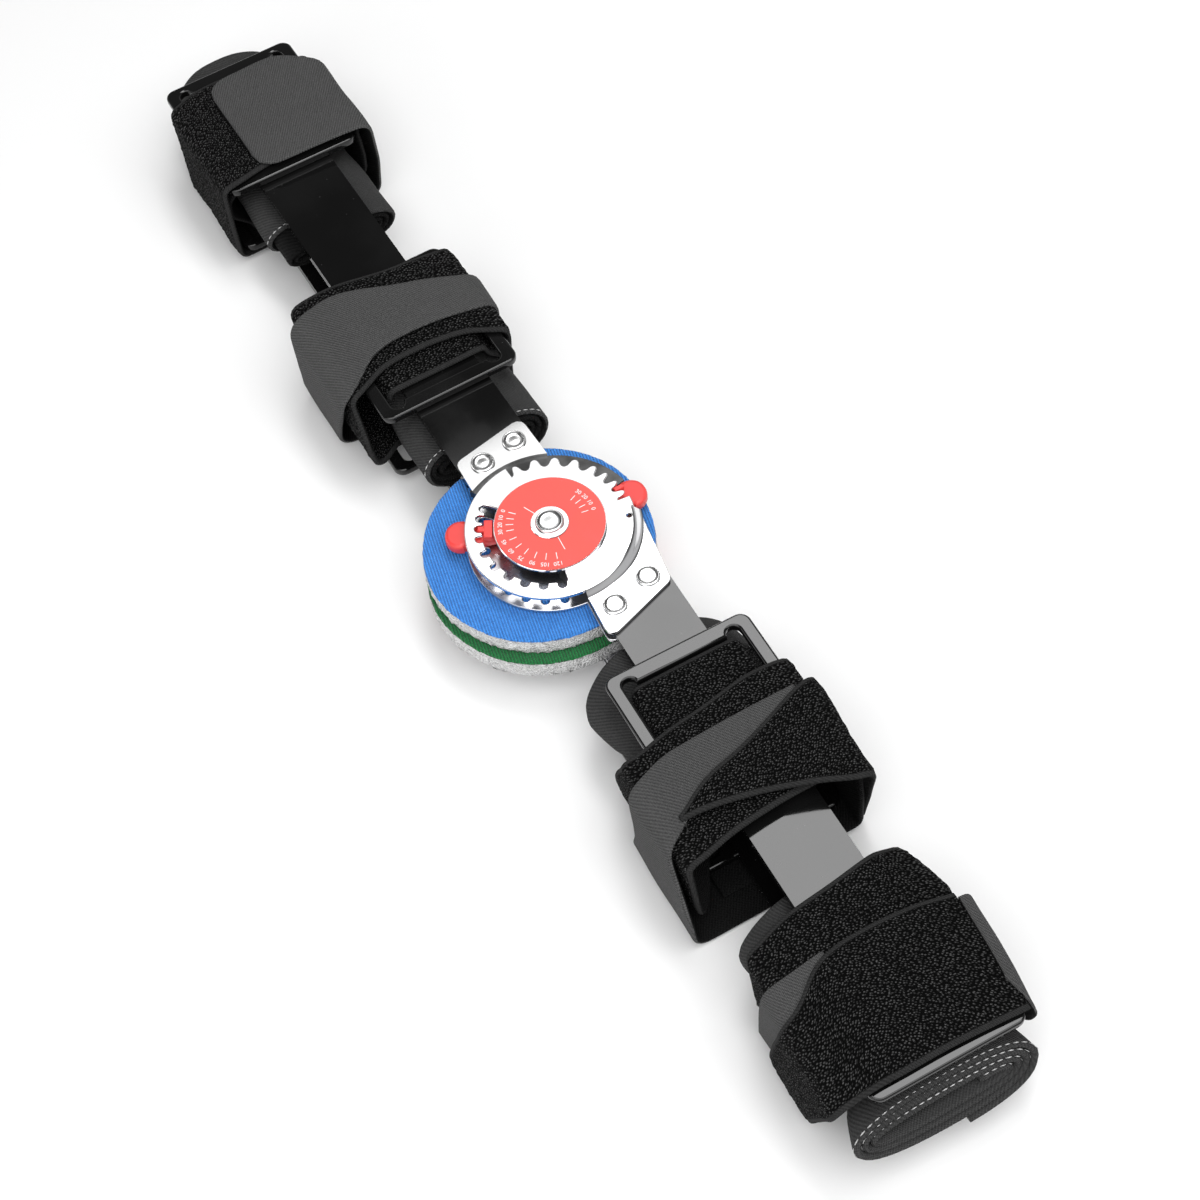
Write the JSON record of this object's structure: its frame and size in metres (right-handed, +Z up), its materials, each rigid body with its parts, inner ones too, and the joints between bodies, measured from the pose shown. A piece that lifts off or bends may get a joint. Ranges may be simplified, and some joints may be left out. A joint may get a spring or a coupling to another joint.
{
  "type": "hinged knee brace",
  "caption": "Folded hinged knee brace: stacked uprights with adjustable stop hinges, round knee pads between them and hook-and-loop straps wound round frames on flat bars.",
  "frame": {"origin": "middle of the footprint, on the surface that the folded brace lies on", "axes": "+X along the uprights from the knee hinge towards the calf end, +Y across the bars, +Z up along the hinge axis"},
  "size_m": [0.5094, 0.0915, 0.0434],
  "materials": {
    "gloss_black": "gloss",
    "chrome": "polished",
    "dial_red": "satin",
    "stop_red": "satin",
    "blue_knit": "knit",
    "green_knit": "knit",
    "foam": "open-cell matt",
    "pile": "loop pile",
    "hook": "hook tape and webbing back",
    "wrap_cloth": "padded cloth"
  },
  "bodies": {
    "thigh": {"top_thigh_bar": "gloss_black", "under_thigh_bar": "gloss_black", "top_thigh_plate": "chrome", "under_thigh_plate": "chrome", "top_thigh_rivet_1": "chrome", "top_thigh_rivet_2": "chrome", "under_thigh_rivet_1": "chrome", "under_thigh_rivet_2": "chrome", "top_thigh_far_frame": "gloss_black", "under_thigh_far_frame": "gloss_black", "top_thigh_near_frame": "gloss_black", "under_thigh_near_frame": "gloss_black", "thigh_far_strap": "pile", "thigh_far_tab": "hook", "thigh_far_wrap": "wrap_cloth", "thigh_near_strap": "pile", "thigh_near_tab": "hook", "thigh_near_wrap": "wrap_cloth"},
    "calf": {"top_calf_bar": "gloss_black", "under_calf_bar": "gloss_black", "top_calf_top_plate": "chrome", "under_calf_top_plate": "chrome", "top_calf_base_plate": "chrome", "under_calf_base_plate": "chrome", "top_dial": "dial_red", "under_dial": "dial_red", "top_pivot_rivet": "chrome", "under_pivot_rivet": "chrome", "top_calf_rivet_1": "chrome", "top_calf_rivet_2": "chrome", "under_calf_rivet_1": "chrome", "under_calf_rivet_2": "chrome", "top_calf_near_frame": "gloss_black", "under_calf_near_frame": "gloss_black", "top_calf_far_frame": "gloss_black", "under_calf_far_frame": "gloss_black", "blue_pad_face": "blue_knit", "blue_pad_foam": "foam", "green_pad_face": "green_knit", "green_pad_foam": "foam", "calf_near_strap": "pile", "calf_near_tab": "hook", "calf_near_wrap": "wrap_cloth", "calf_far_strap": "pile", "calf_far_tab": "hook", "calf_far_wrap": "wrap_cloth"},
    "top_flexion_slide": {"top_flexion_stop": "stop_red"},
    "under_flexion_slide": {"under_flexion_stop": "stop_red"},
    "top_extension_slide": {"top_extension_stop": "stop_red"},
    "under_extension_slide": {"under_extension_stop": "stop_red"}
  },
  "joints": [
    {"name": "knee_hinge", "type": "hinge", "parent": "thigh", "child": "calf", "pos_m": [0.01773, -0.0011, 0.0217], "axis": [0, 0, -1], "range_deg": [0, 20]},
    {"name": "top_flexion_press", "type": "slide", "parent": "calf", "child": "top_flexion_slide", "axis": [0.4695, 0.8829, 0], "range_m": [0, 0.003], "stiffness_N_per_m": 300},
    {"name": "under_flexion_press", "type": "slide", "parent": "calf", "child": "under_flexion_slide", "axis": [0.4695, 0.8829, 0], "range_m": [0, 0.003], "stiffness_N_per_m": 300},
    {"name": "top_extension_pull", "type": "slide", "parent": "calf", "child": "top_extension_slide", "axis": [0.0175, 0.9998, 0], "range_m": [0, 0.0032], "stiffness_N_per_m": 300},
    {"name": "under_extension_pull", "type": "slide", "parent": "calf", "child": "under_extension_slide", "axis": [0.0175, 0.9998, 0], "range_m": [0, 0.0032], "stiffness_N_per_m": 300}
  ]
}
